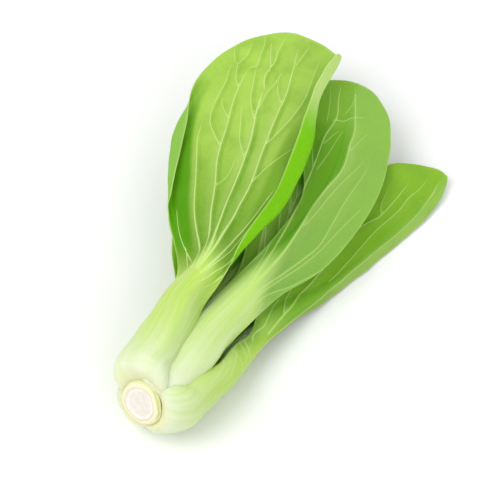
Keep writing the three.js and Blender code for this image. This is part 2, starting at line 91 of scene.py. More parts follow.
# A station is x, y, z of the rib, turn, left width, right width, bow (degrees per 10 mm), height of the
# stalk's back and half width of the stalk, then left and right curl where a margin is turned over.
STATIONS = {
    "leaf_outer_top": [
        (-4, 8, 41, -20, 15, 11, 33, 6.6, 18),
        (-6, 22, 40, -20, 14, 10, 30, 6.8, 16),
        (-6, 36, 39, -16, 14, 10, 18, 6.5, 12, 0, 20),
        (-8, 55, 40, -10, 23, 16, 5, 4, 7, 20, 120),
        (-14, 80, 43, -5, 37, 32, 2, 1.4, 3, 150, 190),
        (-21, 110, 46, 0, 43, 36, 2, 0.7, 1.6, 180, 170),
        (-29, 137, 46, 0, 35, 33, 2, 0.5, 1.2, 40, 130),
        (-33, 160, 46, 0, 28, 33, 2, 0.3, 1, 0, 120),
        (-35, 180, 43, 0, 20, 31, 2, 0.2, 0.8, 0, 110),
    ],
    "leaf_outer_right": [
        (21, 8, 18, 106, 10, 11, 33, 7.4, 14),
        (22, 20, 16, 92, 8, 9, 30, 7, 12),
        (24, 34, 15, 75, 5, 8, 22, 6, 11),
        (26, 42, 14, 71, 13, 8, 20, 5, 9),
        (29, 55, 11, 62, 19, 7, 14, 4.2, 7),
        (37, 78, 7, 52, 24, 6, 14, 1.8, 3),
        (45, 105, 6, 46, 26, 6, 12, 0.9, 1.8),
        (52, 130, 6, 44, 28, 6, 12, 0.6, 1.4),
        (56, 150, 7, 42, 25, 6, 10, 0.4, 1.1),
        (57, 165, 6, 40, 17, 5, 10, 0.2, 0.8),
    ],
    "leaf_outer_under": [
        (-5, 8, 11, 212, 13, 13, 33, 7.4, 17),
        (-7, 22, 11, 205, 11, 11, 30, 7, 14),
        (-9, 36, 10, 196, 12, 12, 18, 6, 11),
        (-12, 55, 7, 188, 20, 20, 5, 4.5, 8),
        (-17, 78, 4, 184, 27, 27, 2, 3, 5),
        (-23, 105, 3, 182, 31, 31, 1, 2, 4),
        (-28, 130, 2, 180, 30, 30, 1, 1.4, 3),
        (-32, 152, 3, 180, 25, 25, 1, 0.6, 2),
        (-34, 172, 5, 180, 20, 20, 1, 0.2, 1.5),
    ],
    "leaf_second_top": [
        (10, 4, 37, 28, 10, 14, 34, 4.8, 13),
        (11, 16, 36, 27, 10, 12, 34, 5.2, 13),
        (13, 34, 33, 22, 10, 11, 30, 5.4, 12),
        (15, 55, 32, 18, 8, 13, 10, 4, 8),
        (17, 78, 31, 15, 7, 20, 5, 1.8, 3.6, 20, 0),
        (18, 105, 32, 15, 9, 23, 3, 0.8, 1.7, 20, 0),
        (15, 130, 32, 15, 21, 24, 3, 0.6, 1.2, 20, 0),
        (7, 155, 32, 12, 27, 22, 3, 0.4, 1, 10, 0),
        (0, 177, 30, 10, 24, 18, 3, 0.2, 0.8),
    ],
    "leaf_second_under": [
        (7, 6, 14, 160, 10, 10, 42, 5.8, 12),
        (9, 20, 13, 165, 9, 9, 36, 5.8, 12),
        (11, 36, 11, 168, 9, 9, 28, 5.2, 11),
        (13, 55, 9, 172, 12, 14, 10, 4.2, 8),
        (16, 78, 6, 176, 16, 20, 4, 2.8, 6),
        (20, 101, 4, 178, 19, 24, 2, 1.8, 4),
        (24, 122, 4, 180, 20, 23, 2, 1.2, 3),
        (27, 140, 4, 180, 18, 19, 2, 0.6, 2),
        (29, 155, 5, 180, 14, 15, 2, 0.2, 1.5),
    ],
    "leaf_second_left": [
        (-8, 6, 26, -86, 9, 9, 42, 5.6, 12),
        (-10, 20, 26, -80, 8, 8, 36, 5.6, 11),
        (-12, 36, 25, -70, 9, 9, 26, 4.8, 10),
        (-15, 55, 24, -58, 14, 14, 12, 3.8, 7),
        (-22, 78, 24, -45, 20, 20, 8, 2.4, 5),
        (-29, 100, 26, -35, 22, 22, 6, 1.5, 4),
        (-34, 120, 27, -28, 19, 19, 6, 0.9, 3),
        (-38, 140, 27, -22, 15, 15, 6, 0.2, 1.5),
    ],
    "leaf_third_top": [
        (4, 6, 34, -5, 8, 8, 45, 4.6, 10),
        (5, 18, 32, 0, 8, 8, 40, 4.2, 10),
        (8, 34, 28, 10, 7, 8, 30, 3.4, 8),
        (11, 55, 27, 20, 8, 10, 10, 2.6, 6),
        (10, 78, 28, 28, 14, 12, 4, 1.8, 5),
        (7, 100, 29, 28, 20, 14, 3, 1.4, 4),
        (4, 122, 29, 20, 22, 16, 3, 0.8, 3),
        (0, 145, 28, 10, 20, 18, 3, 0.3, 2),
    ],
    "leaf_third_right": [
        (11, 6, 24, 95, 7, 7, 50, 4.4, 9),
        (13, 20, 23, 85, 7, 7, 40, 4.6, 9),
        (15, 36, 20, 70, 6, 6, 30, 4, 8),
        (16, 54, 18, 50, 8, 8, 14, 3, 6),
        (17, 74, 17, 34, 11, 10, 8, 1.9, 4),
        (18, 92, 16, 26, 12, 11, 7, 1.2, 3),
        (19, 108, 16, 24, 11, 10, 7, 0.7, 2.5),
        (20, 124, 16, 22, 9, 8, 7, 0.2, 1.5),
    ],
    "leaf_third_under": [
        (1, 6, 20, 210, 7, 7, 50, 4.4, 9),
        (0, 20, 19, 205, 7, 7, 40, 4.6, 9),
        (-1, 36, 18, 200, 7, 7, 28, 4, 8),
        (-3, 54, 16, 195, 12, 12, 12, 3, 6),
        (-7, 74, 14, 190, 17, 17, 6, 1.9, 4),
        (-12, 94, 13, 186, 19, 19, 5, 1.2, 3),
        (-16, 112, 13, 183, 17, 17, 5, 0.7, 2.5),
        (-19, 130, 14, 180, 13, 13, 5, 0.2, 1.5),
    ],
    "leaf_heart_large": [
        (3, 8, 28, -20, 3, 3, 60, 2, 5),
        (2, 22, 27, -15, 4, 4, 60, 2, 5),
        (1, 38, 26, -10, 5, 5, 50, 1.8, 5),
        (1, 54, 24, -5, 9, 9, 30, 1.6, 4),
        (1, 70, 22, 0, 12, 12, 22, 1, 3),
        (0, 84, 22, 0, 12, 12, 18, 0.6, 2.5),
        (-1, 98, 22, 0, 9, 9, 16, 0.2, 1.5),
    ],
    "leaf_heart_middle": [
        (6, 8, 24, 120, 3, 3, 60, 2, 5),
        (7, 22, 23, 130, 4, 4, 60, 2, 5),
        (7, 38, 20, 148, 4, 5, 50, 1.8, 5),
        (7, 52, 17, 165, 5, 6, 32, 1.5, 4),
        (6, 66, 16, 172, 7, 7, 24, 0.9, 3),
        (5, 78, 16, 175, 7, 6, 20, 0.5, 2.5),
        (4, 90, 16, 178, 5, 5, 18, 0.2, 1.5),
    ],
    "leaf_heart_small": [
        (1, 8, 22, -140, 3, 3, 60, 1.6, 4),
        (0, 20, 21, -150, 3, 3, 60, 1.6, 4),
        (-2, 34, 19, -162, 3, 4, 50, 1.5, 4),
        (-4, 46, 18, -172, 4, 4, 32, 1.4, 3),
        (-5, 58, 17, -176, 5, 5, 24, 0.8, 3),
        (-5, 68, 17, -178, 4, 4, 20, 0.2, 1.5),
    ],
}

# Veins of the leaves that show: width, then across and along by turns, from the rib and the root.
VEINS = {
    "leaf_outer_top": [
        (1.1, [0, 60, -1, 74, -2, 84, -2, 96, -1, 112, -1, 133, -2, 152, -2, 166]),
        (0.5, [-2, 166, -4, 173, -3, 183, -4, 190, -5, 203]),
        (0.7, [-1, 61, -4, 75, -8, 94, -10, 107, -13, 119, -14, 128, -14, 146, -14, 163, -13, 176]),
        (0.35, [-13, 176, -10, 178, -11, 185, -12, 192, -15, 199]),
        (0.4, [-14, 128, -18, 134, -22, 141, -23, 148, -22, 156, -21, 165, -22, 172, -21, 177]),
        (0.3, [-14, 163, -17, 168, -19, 175, -21, 177]),
        (0.25, [-14, 145, -18, 151, -20, 156]),
        (0.6, [-3, 60, -7, 73, -13, 85, -17, 96, -20, 108, -23, 119, -26, 131, -26, 144]),
        (0.35, [-1, 124, -6, 134, -8, 144, -10, 156]),
        (0.4, [-2, 147, -6, 157, -8, 167, -10, 178]),
        (0.75, [0, 61, 1, 74, 2, 85, 4, 98, 6, 112, 6, 133, 8, 154, 9, 166, 7, 182, 3, 200]),
        (0.4, [6, 134, 11, 144, 15, 153, 18, 165, 18, 175, 17, 186, 16, 196]),
        (0.5, [2, 58, 4, 69, 6, 80, 10, 89, 14, 100, 18, 114]),
        (0.35, [-3, 177, -5, 183, -7, 188, -10, 196]),
        (0.3, [-21, 177, -23, 181, -25, 187]),
        (0.3, [-19, 176, -17, 183, -18, 191]),
        (0.3, [7, 184, 8, 192, 8, 202]),
        (0.25, [-1, 155, 0, 163, 2, 172, 3, 179]),
        (0.3, [-8, 66, -16, 74, -21, 82, -26, 96]),
        (0.25, [6, 112, 10, 122, 15, 130, 20, 138]),
        (0.25, [-10, 107, -6, 114, -5, 124]),
        (0.25, [8, 160, 4, 168, 2, 178]),
        (0.35, [3, 50, 6, 62, 10, 74, 17, 92]),
        (0.3, [4, 47, 8, 58, 13, 69, 18, 80]),
        (0.3, [6, 46, 10, 56, 13, 64, 17, 72]),
        (0.3, [1, 52, 4, 64, 7, 76, 12, 90]),
        (0.25, [-6, 58, -11, 66, -15, 74]),
    ],
    "leaf_second_top": [
        (1.0, [0, 66, 1, 84, 1, 97, 0, 110, -1, 123, 0, 135, 3, 150, 3, 164, 4, 174, 1, 192, -1, 201]),
        (0.9, [-1, 70, -3, 90, -6, 112, -9, 128, -10, 142, -10, 163, -6, 177, -7, 188, -8, 201]),
        (0.35, [-9, 161, -6, 167, -3, 171]),
        (0.35, [-8, 144, -6, 155, -4, 164, -1, 173]),
        (0.35, [-10, 142, -14, 156, -18, 170]),
        (0.3, [-10, 175, -11, 187, -13, 197]),
        (0.5, [-7, 176, -2, 177, 2, 181, 8, 184]),
        (0.3, [-2, 182, 0, 189, 0, 197]),
        (0.5, [1, 114, 2, 123, 3, 132, 5, 142, 8, 151, 12, 160]),
        (0.5, [2, 64, 5, 78, 9, 96, 12, 110, 11, 124, 11, 138, 13, 150, 15, 160]),
        (0.4, [4, 68, 8, 84, 13, 104, 15, 119, 17, 129, 20, 140]),
        (0.35, [5, 62, 8, 74, 13, 84, 16, 92, 20, 102]),
        (0.35, [3, 160, 5, 164, 8, 170, 11, 175]),
        (0.3, [-3, 74, -5, 88, -8, 102, -11, 116]),
    ],
    "leaf_outer_right": [
        (0.7, [-2, 70, -4, 93, -8, 112, -11, 131, -13, 142, -12, 152, -11, 158, -12, 172, -13, 184]),
        (0.35, [-11, 158, -15, 163, -18, 172]),
        (0.45, [-2, 116, -3, 126, -5, 138, -7, 152, -7, 168, -8, 176, -7, 184, -7, 196]),
        (0.35, [-12, 126, -17, 138, -20, 152]),
        (0.4, [-3, 82, -10, 96, -17, 110, -22, 124]),
        (0.4, [-2, 50, -7, 57, -12, 64, -16, 72]),
        (0.35, [-3, 46, -9, 50, -13, 55]),
        (0.45, [-2, 54, -7, 64, -12, 76, -17, 92]),
        (0.35, [-3, 62, -6, 74, -9, 88]),
        (0.8, [1, 60, 2, 96, 1, 120, 1, 147, 1, 172, 0, 185, -2, 198]),
    ],
}

# Painted shade towards a margin, in valleys beside the ribs and under turned-over margins: the side of the
# line that is shaded (-1 left, 1 right), how far it fades, and the line, across and along by turns.
BANDS = {
    "leaf_outer_top": [
        (-1, 3, [-8, 66, -13, 82, -18, 96, -21, 108, -24, 119, -27, 131, -28, 146, -27, 160, -25, 172]),
        (1, 3, [6, 72, 8, 86, 10, 100, 11, 116, 12, 134, 16, 152, 24, 174]),
    ],
    "leaf_second_top": [
        (-1, 1.4, [1, 84, 1, 97, 0, 110, -1, 123, 0, 135, 3, 150, 3, 164, 4, 174, 1, 192, -1, 204]),
    ],
    "leaf_outer_right": [(-1, 3, [0, 74, 1, 96, 1, 120, 0, 147, 0, 166, -2, 198])],
}


class Leaf:
    """A leaf: its node, whorl, facing angle, spans round the bulb, tip roundness, mesh size and looks."""

    def __init__(self, node, slot, whorl, facing, left, right, tips, grid, folds=(0.6, 0.6), **looks):
        self.node = node
        self.slot = slot
        self.whorl = WHORLS[whorl]
        self.facing = facing
        self.left_span = left
        self.right_span = right
        self.tips = tips
        self.grid = grid
        self.folds = folds
        self.ruffle = looks.get("ruffle", 0.8)
        self.quilt = looks.get("quilt", 0.4)
        self.lean = looks.get("lean", 1)
        self.blade_from = looks.get("blade_from", 52)
        self.rib_run = looks.get("rib_run", 34)
        self.root_run = looks.get("root_run", 1.6)
        self.seed = looks["seed"]
        self.look = looks["look"]
        self.set_rows()

    def set_rows(self):
        rows = []
        for (depth, radius, back), left, right in zip(self.whorl, self.left_span, self.right_span):
            centre, _, outward = bulb_frame(np.array([float(depth)]), np.array([self.facing * DEGREE]))
            root = centre[0] + radius * outward[0]
            wide = DEGREE * radius
            bow = 10 / radius / DEGREE
            stalk = 1.05 * max(left, right) * wide
            rows.append((*root, self.facing, left * wide, right * wide, bow, 0, 0, back, stalk))
        for x, y, z, turn, left, right, bow, back, stalk, *curls in STATIONS[self.node]:
            rows.append((x, y, z, turn, left, right, bow, *(curls or (0, 0)), back, stalk))
        self.rows = np.array(rows, float)
        steps = np.linalg.norm(np.diff(self.rows[:, :3], axis=0), axis=1)
        lengths = np.concatenate([[0], np.cumsum(steps)])
        self.length = lengths[-1]
        self.places = lengths / self.length
        self.on_bulb = len(self.whorl)
        self.seat = OUTER_SEAT if self.whorl is WHORLS["outer"] else 0.0

    def value(self, column, place):
        return curve_at(self.places, self.rows[:, column], place)


# ---- curves and the bulb


def ease(value):
    x = np.clip(value, 0, 1)
    return x * x * (3 - 2 * x)


def unit(vectors):
    return vectors / np.linalg.norm(vectors, axis=-1, keepdims=True)


def curve_at(places, values, at):
    """A smooth curve through values at uneven places; at its ends it keeps the slope of the end span."""
    places = np.asarray(places, float)
    values = np.asarray(values, float)
    at = np.clip(at, places[0], places[-1])
    widths = np.diff(places)
    shaped = widths.reshape((-1,) + (1,) * (values.ndim - 1))
    slopes = np.diff(values, axis=0) / shaped
    tangents = np.empty_like(values)
    tangents[0], tangents[-1] = slopes[0], slopes[-1]
    tangents[1:-1] = (slopes[:-1] * shaped[1:] + slopes[1:] * shaped[:-1]) / (shaped[:-1] + shaped[1:])
    i = np.clip(np.searchsorted(places, at, side="right") - 1, 0, len(places) - 2)
    w = widths[i]
    f = (at - places[i]) / w
    if values.ndim > 1:
        f = f[..., None]
        w = w[..., None]
    start = (2 * f - 3) * f * f + 1
    return (
        start * values[i]
        + ((f - 2) * f + 1) * f * w * tangents[i]
        + (1 - start) * values[i + 1]
        + (f - 1) * f * f * w * tangents[i + 1]
    )


BULB_DEPTHS = [row[0] for row in CENTRELINE]
BULB_POINTS = [row[1:] for row in CENTRELINE]


def bulb_centre(depth):
    return curve_at(BULB_DEPTHS, BULB_POINTS, depth)


def bulb_frame(depth, angle):
    """Centre, along and outward directions on the bulb at each depth and angle around it."""
    step = 0.2
    depth = np.clip(depth, 0, BULB_DEPTHS[-1] - step)
    along = unit(bulb_centre(depth + step) - bulb_centre(np.maximum(depth - step, 0)))
    side = unit(np.cross(along, [0, 0, 1.0]))
    top = np.cross(side, along)
    outward = np.sin(angle)[..., None] * side + np.cos(angle)[..., None] * top
    return bulb_centre(depth), along, outward


# ---- the leaf sheet


def bulb_sheet(leaf, across, place):
    """The sheet wrapped round the bulb: points and outward directions."""
    n = leaf.on_bulb
    places = np.append(leaf.places[:n], PAST_THE_TIP)
    depths = [row[0] for row in leaf.whorl]
    radii = [row[1] for row in leaf.whorl]
    depths.append(depths[-1] + (PAST_THE_TIP - leaf.places[n - 1]) * leaf.length)
    radii.append(radii[-1])
    before, after = place - SLOPE_STEP, place + SLOPE_STEP
    depth = curve_at(places, depths, place)
    radius = curve_at(places, radii, place)
    run = curve_at(places, depths, after) - curve_at(places, depths, before)
    rise = curve_at(places, radii, after) - curve_at(places, radii, before)
    left = curve_at(leaf.places[:n], leaf.left_span, place)
    right = curve_at(leaf.places[:n], leaf.right_span, place)
    angle = (leaf.facing + across * np.where(across < 0, left, right)) * DEGREE
    centre, along, outward = bulb_frame(depth, angle)
    normal = unit(run[..., None] * outward - rise[..., None] * along)
    return centre + radius[..., None] * outward, normal


def blade_sheet(leaf, across, place, width):
    """The free blade: arcs walked from the rib to the margin, bowed and rolled over."""
    rib = leaf.rows[:, :3]
    ahead = curve_at(leaf.places, rib, place + SLOPE_STEP)
    along = unit(ahead - curve_at(leaf.places, rib, np.maximum(place - SLOPE_STEP, 0)))
    turn = leaf.value(3, place) * DEGREE
    side = np.stack([np.cos(turn), 0 * turn, -np.sin(turn)], -1)
    side = unit(side - np.sum(side * along, -1, keepdims=True) * along)
    up = np.cross(side, along)
    hand = np.where(across < 0, -1.0, 1.0)
    curl = np.where(across < 0, leaf.value(7, place), leaf.value(8, place)) * DEGREE
    bow = leaf.value(6, place) * DEGREE / 10
    fold = np.where(across < 0, *leaf.folds)
    reach = np.abs(across)

    def slope(v):
        return -bow * v * width + curl * ease((v - fold) / FOLD_SPAN)

    out = np.zeros_like(across)
    lift = np.zeros_like(across)
    for i in range(ARC_STEPS):
        angle = slope(reach * (i + 0.5) / ARC_STEPS)
        out += np.cos(angle) * reach * width / ARC_STEPS
        lift += np.sin(angle) * reach * width / ARC_STEPS
    end = slope(reach)
    point = curve_at(leaf.places, rib, place) + (out * hand)[..., None] * side + lift[..., None] * up
    normal = (-np.sin(end) * hand)[..., None] * side + np.cos(end)[..., None] * up
    return point, normal


# ---- what stands out on a leaf's surface


def path_side(path, across, along):
    """Signed distance from each point to a smooth path, and how far along the path the nearest place is."""
    path = np.array(path, float).reshape(-1, 2)
    knots = np.linspace(0, 1, len(path))
    at = np.linspace(0, 1, 4 * len(path))
    points = curve_at(knots, path, at)
    best = np.full(across.shape, 1e3)
    progress = np.zeros(across.shape)
    for start, end, place in zip(points[:-1], points[1:], at[:-1]):
        step = end - start
        dx, dy = across - start[0], along - start[1]
        t = np.clip((dx * step[0] + dy * step[1]) / (step @ step), 0, 1)
        gap = np.hypot(dx - t * step[0], dy - t * step[1])
        nearer = gap < np.abs(best)
        best = np.where(nearer, np.where(dx * step[1] > dy * step[0], gap, -gap), best)
        progress = np.where(nearer, place + t * (at[1] - at[0]), progress)
    return best, progress


def grown_veins(leaf):
    """Veins for a leaf with none listed: the rib, and pairs that leave it and bend towards the tip."""
    rng = np.random.default_rng(leaf.seed)
    veins = [(0.8, [(0, leaf.blade_from), (0, 0.5 * (leaf.blade_from + leaf.length)), (0, leaf.length - 4)])]
    for hand, column in ((-1, 4), (1, 5)):
        for start in np.arange(leaf.blade_from, leaf.length - 25, 13.0):
            start += rng.uniform(-3, 3)
            reach = rng.uniform(38, 50)
            end = min(start + reach, leaf.length - 4)
            wide = float(leaf.value(column, np.array(end / leaf.length)))
            out = hand * wide * rng.uniform(0.6, 0.8)
            fork = (0.55 * out, start + 0.55 * (end - start))
            veins.append((0.5, [(0.3 * hand, start), (0.28 * out, start + 0.3 * reach), fork, (out, end)]))
            last = min(fork[1] + 26, leaf.length - 4)
            veins.append((0.3, [fork, (0.7 * out, fork[1] + 12), (0.68 * out, last)]))
    return veins


def vein_lines(leaf, across, along):
    """Signed distance to the nearest vein, its half width, the pleats that carry veins, and painted shade
    along their steep sides.
    """
    side = np.full(across.shape, 9.0)
    half = np.zeros_like(across)
    pleat = np.zeros_like(across)
    groove = np.zeros_like(across)
    swell = 1 + VEIN_ROOT_SWELL * ease((leaf.blade_from + VEIN_ROOT_RUN - along) / VEIN_ROOT_RUN)
    for wide, path in VEINS.get(leaf.node) or grown_veins(leaf):
        gap, progress = path_side(path, across, along)
        nearer = np.abs(gap) < np.abs(side)
        side = np.where(nearer, gap, side)
        thick = 0.55 * max(wide, THINNEST_VEIN) * (1 - 0.35 * progress) * ease((1.03 - progress) / 0.15)
        half = np.where(nearer, thick * swell, half)
        strength = wide**0.8 * ease((1.03 - progress) / 0.4) * ease((progress + 0.03) / 0.15)
        steep = gap * leaf.lean < 0
        spread = np.where(steep, VEIN_FOOT, PLEAT_WIDTH)
        pleat = np.maximum(pleat, strength * np.exp(-((gap / spread) ** 2)))
        # painted shade at the foot of each pleat's steep side
        foot = np.exp(-(((np.abs(gap) - VEIN_FOOT) / VEIN_FOOT) ** 2))
        groove = np.maximum(groove, strength * steep * foot)
    return side, half, pleat, groove


def dark_bands(leaf, across, along):
    """Painted shade on the blade, on one side of its band lines."""
    bands = [np.zeros_like(across), np.zeros_like(across)]
    for hand, fade, path in BANDS.get(leaf.node, []):
        gap, progress = path_side(path, across, along)
        ends = ease(progress / 0.12) * ease((1 - progress) / 0.4)
        bands[hand > 0] = np.maximum(bands[hand > 0], ease(hand * gap / fade) * ends)
    return bands


def waves(leaf, across, along, size, count=5):
    """Gentle uneven rises and dips, between about -1 and 1."""
    rng = np.random.default_rng(leaf.seed + 77)
    total = np.zeros_like(across)
    for _ in range(count):
        angle = rng.uniform(0, math.pi)
        pace = 2 * math.pi / (size * rng.uniform(0.7, 1.5))
        phase = rng.uniform(0, 2 * math.pi)
        total += np.sin(pace * (math.cos(angle) * across + math.sin(angle) * along) + phase)
    return total / count


def leaf_surface(leaf, across, along, face):
    """Places of a leaf's points in millimetres, and the marks that its material reads."""
    roundness = 1 - np.sqrt(np.clip(1 - across * across, 0, 1))
    fall = roundness * np.where(across < 0, *leaf.tips) / leaf.length
    place = np.clip(along - fall * ease((along - 0.45) / 0.55), 0, 1)
    width = np.where(across < 0, leaf.value(4, place), leaf.value(5, place))
    u = across * width
    v = place * leaf.length
    n = leaf.on_bulb
    free = ease((place - leaf.places[n - 2]) / (leaf.places[n] - leaf.places[n - 2]))[..., None]
    soft = ease((place - leaf.places[n - 1]) / (leaf.places[n + 2] - leaf.places[n - 1]))
    on_bulb, bulb_out = bulb_sheet(leaf, across, place)
    on_blade, blade_out = blade_sheet(leaf, across, place, width)
    point = (1 - free) * on_bulb + free * on_blade
    normal = unit((1 - free) * bulb_out + free * blade_out)

    stalk_width = np.maximum(leaf.value(10, place), 0.1)
    off_rib = np.clip(np.abs(u) / np.minimum(stalk_width, 1.03 * width), 0, 1)
    back = leaf.value(9, place) * (1 - off_rib ** (4 - 2 * soft)) ** (0.8 + 0.8 * soft)
    on_rib = (1 - off_rib**2) * (1 - ease((v - leaf.blade_from + 4) / leaf.rib_run))
    blade = ease((v - leaf.blade_from + 10) / 22) * (1 - on_rib)

    rim = np.minimum(width * (1 - np.abs(across)), (1 - along) * leaf.length)
    rim_round = np.sqrt(np.clip(1 - np.clip(1 - rim / RIM_ROUNDING, 0, 1) ** 2, 0, 1))
    half = STALK_HALF_THICKNESS + (BLADE_HALF_THICKNESS - STALK_HALF_THICKNESS) * soft
    half = RIM_HALF_THICKNESS + (half - RIM_HALF_THICKNESS) * rim_round
    tuck = 0.75 * (1 - soft) * ease(1 - width * (1 - np.abs(across)) / 5)

    side, vein_half, pleat, groove = vein_lines(leaf, u, v)
    vein_half = vein_half * ease((v - leaf.blade_from + 14) / 14)
    band_left, band_right = dark_bands(leaf, u, v)
    hand = np.where(across < 0, 0.0, 1.7)
    margin = np.abs(across) ** 3 * ease((v - leaf.blade_from) / 30)
    slow = np.sin(v / 5.2 + hand + leaf.seed)
    quick = np.sin(v / 2.9 + 2 * hand + 1.3 * leaf.seed)
    ruffle = margin * (slow + 0.5 * quick)
    shape = leaf.ruffle * ruffle + SWELL_HEIGHT * soft * waves(leaf, u, v, SWELL_SIZE)
    shape += blade * leaf.quilt * (waves(leaf, u, v, QUILT_SIZE, 7) + 1.2 * pleat - 0.6)

    stripes = 0.6 * np.sin(u * 1.7 + 0.4 * np.sin(v / 17)) + 0.4 * np.sin(u * 3.1 + 1.1)
    stalk_now = (1 - blade) * ease((v - 20) / 26) * rim_round
    raised = STALK_RIBBING * stripes * stalk_now
    root = np.sqrt(1 - np.clip(1 - v / leaf.root_run, 0, 1) ** 2)

    outward = np.where(face > 0, (half + back + raised * rim_round) * root - tuck, -half * root)
    outward = outward - leaf.seat * (1 - root)
    point = point + normal * (outward + shape)[..., None]
    point[..., 2] = np.maximum(point[..., 2], REST_HEIGHT)
    fold_at = np.where(across < 0, *leaf.folds)
    curl = np.where(across < 0, leaf.value(7, place), leaf.value(8, place))
    folded = ease((np.abs(across) - fold_at + 0.02) / 0.1)
    marks = {
        "across_mm": u,
        "along_mm": v,
        "blade": blade,
        "vein_side": np.clip(side, -VEIN_REACH, VEIN_REACH),
        "vein_gap": np.minimum(np.abs(side), VEIN_REACH),
        "vein_half": vein_half,
        "pleat": pleat,
        "groove": groove,
        "back": (face > 0).astype(float),
        "rim": 1 - np.clip(rim / RIM_PALE_LINE, 0, 1),
        "band_left": band_left,
        "band_right": band_right,
        "turned": folded * ease((curl - 20) / 120),
    }
    return point, marks


# ---- making the meshes


def cut_centre_in_frame():
    """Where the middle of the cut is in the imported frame: the crown's foremost points, averaged."""
    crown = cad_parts["crown"]
    places = np.array([vertex.co for vertex in crown.data.vertices])
    reach = places @ np.array(CROWN_FACING)
    return places[reach > reach.max() - 1e-5].mean(axis=0)


HEAD_SHIFT = cut_centre_in_frame() - np.array(CUT_CENTRE) * MM


def to_frame(points_mm):
    return points_mm * MM + HEAD_SHIFT


def slab(columns, rows):
    """A flat closed slab: its top is the leaf's back and its underside the leaf's front."""
    sheet = bmesh.new()
    bmesh.ops.create_grid(sheet, x_segments=columns, y_segments=rows, size=1)
    copy = bmesh.ops.extrude_face_region(sheet, geom=sheet.faces[:], use_keep_orig=True)
    moved = [item for item in copy["geom"] if isinstance(item, bmesh.types.BMVert)]
    bmesh.ops.translate(sheet, verts=moved, vec=(0, 0, 1))
    bmesh.ops.translate(sheet, verts=sheet.verts[:], vec=(0, 0, -0.5))
    bmesh.ops.recalc_face_normals(sheet, faces=sheet.faces[:])
    return sheet


def mesh_object(name, shape):
    mesh = bpy.data.meshes.new(name)
    shape.to_mesh(mesh)
    shape.free()
    piece = bpy.data.objects.new(name, mesh)
    bpy.context.scene.collection.objects.link(piece)
    return piece


def read_points(mesh):
    points = np.zeros(len(mesh.vertices) * 3)
    mesh.vertices.foreach_get("co", points)
    return points.reshape(-1, 3)


def write_points(mesh, points):
    mesh.vertices.foreach_set("co", points.ravel())
    mesh.shade_smooth()
    mesh.update()


def write_marks(mesh, marks):
    for name, values in marks.items():
        layer = mesh.attributes.new(name, "FLOAT", "POINT")
        layer.data.foreach_set("value", values.astype(np.float32))


def make_leaf(leaf):
    piece = mesh_object(leaf.node + "_leaf", slab(*leaf.grid))
    flat = read_points(piece.data)
    across = 0.65 * flat[:, 0] + 0.35 * np.sin(flat[:, 0] * math.pi / 2)
    along = ((flat[:, 1] + 1) / 2) ** ROW_BUNCHING
    points, marks = leaf_surface(leaf, across, along, flat[:, 2])
    write_points(piece.data, to_frame(points))
    write_marks(piece.data, marks)
    piece.data.materials.append(leaf_material(leaf))
    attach(piece, "root")
    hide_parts(leaf.node)


# ---- materials


def colour(red, green, blue):
    """A linear colour from screen values between 0 and 255."""
    def linear(value):
        value /= 255
        return value / 12.92 if value <= 0.04045 else ((value + 0.055) / 1.055) ** 2.4
    return (linear(red), linear(green), linear(blue), 1.0)


class Nodes:
    """Short calls for adding and joining nodes in one material or group."""

    def __init__(self, tree):
        self.tree = tree

    def add(self, kind, **settings):
        node = self.tree.nodes.new(kind)
        for name, value in settings.items():
            setattr(node, name, value)
        return node

    def put(self, value, socket):
        if isinstance(value, bpy.types.NodeSocket):
            self.tree.links.new(value, socket)
        else:
            socket.default_value = value

    def mark(self, name):
        return self.add("ShaderNodeAttribute", attribute_name=name).outputs["Fac"]

    def maths(self, operation, *values, clamp=False):
        node = self.add("ShaderNodeMath", operation=operation, use_clamp=clamp)
        for value, socket in zip(values, node.inputs):
            self.put(value, socket)
        return node.outputs[0]

    def times(self, first, second):
        return self.maths("MULTIPLY", first, second)

    def mix(self, amount, first, second):
        node = self.add("ShaderNodeMix", data_type="RGBA", clamp_factor=True)
        self.put(amount, node.inputs["Factor"])
        self.put(first, node.inputs[6])
        self.put(second, node.inputs[7])
        return node.outputs[2]

    def ramp(self, value, low, high, out_low=0.0, out_high=1.0):
        node = self.add("ShaderNodeMapRange", interpolation_type="SMOOTHSTEP")
        for item, socket in zip((value, low, high, out_low, out_high), node.inputs):
            self.put(item, socket)
        return node.outputs[0]

    def vector(self, x, y, z=0.0):
        node = self.add("ShaderNodeCombineXYZ")
        for item, socket in zip((x, y, z), node.inputs):
            self.put(item, socket)
        return node.outputs[0]

    def noise(self, place, scale, detail=3.0, rough=0.5):
        node = self.add("ShaderNodeTexNoise")
        self.put(place, node.inputs["Vector"])
        node.inputs["Scale"].default_value = scale
        node.inputs["Detail"].default_value = detail
        node.inputs["Roughness"].default_value = rough
        return node.outputs["Fac"]

    def net_lines(self, place, scale, width):
        """Thin lines between irregular cells, 1 on a line and 0 away from it."""
        cells = self.add("ShaderNodeTexVoronoi", feature="DISTANCE_TO_EDGE")
        self.put(place, cells.inputs["Vector"])
        cells.inputs["Scale"].default_value = scale
        return self.ramp(cells.outputs["Distance"], 0.0, width, 1.0, 0.0)

    def ring_line(self, radius, middle, width):
        """1 where the radius is at the middle of a ring, falling to 0 at its sides."""
        away = self.maths("ABSOLUTE", self.maths("SUBTRACT", radius, middle))
        return self.ramp(away, 0.0, width, 1.0, 0.0)

    def bump(self, height, strength, distance):
        node = self.add("ShaderNodeBump")
        node.inputs["Strength"].default_value = strength
        node.inputs["Distance"].default_value = distance
        self.put(height, node.inputs["Height"])
        return node.outputs[0]

    def group(self, tree, **values):
        node = self.add("ShaderNodeGroup", node_tree=tree)
        for name, value in values.items():
            self.put(value, node.inputs[name])
        return node.outputs


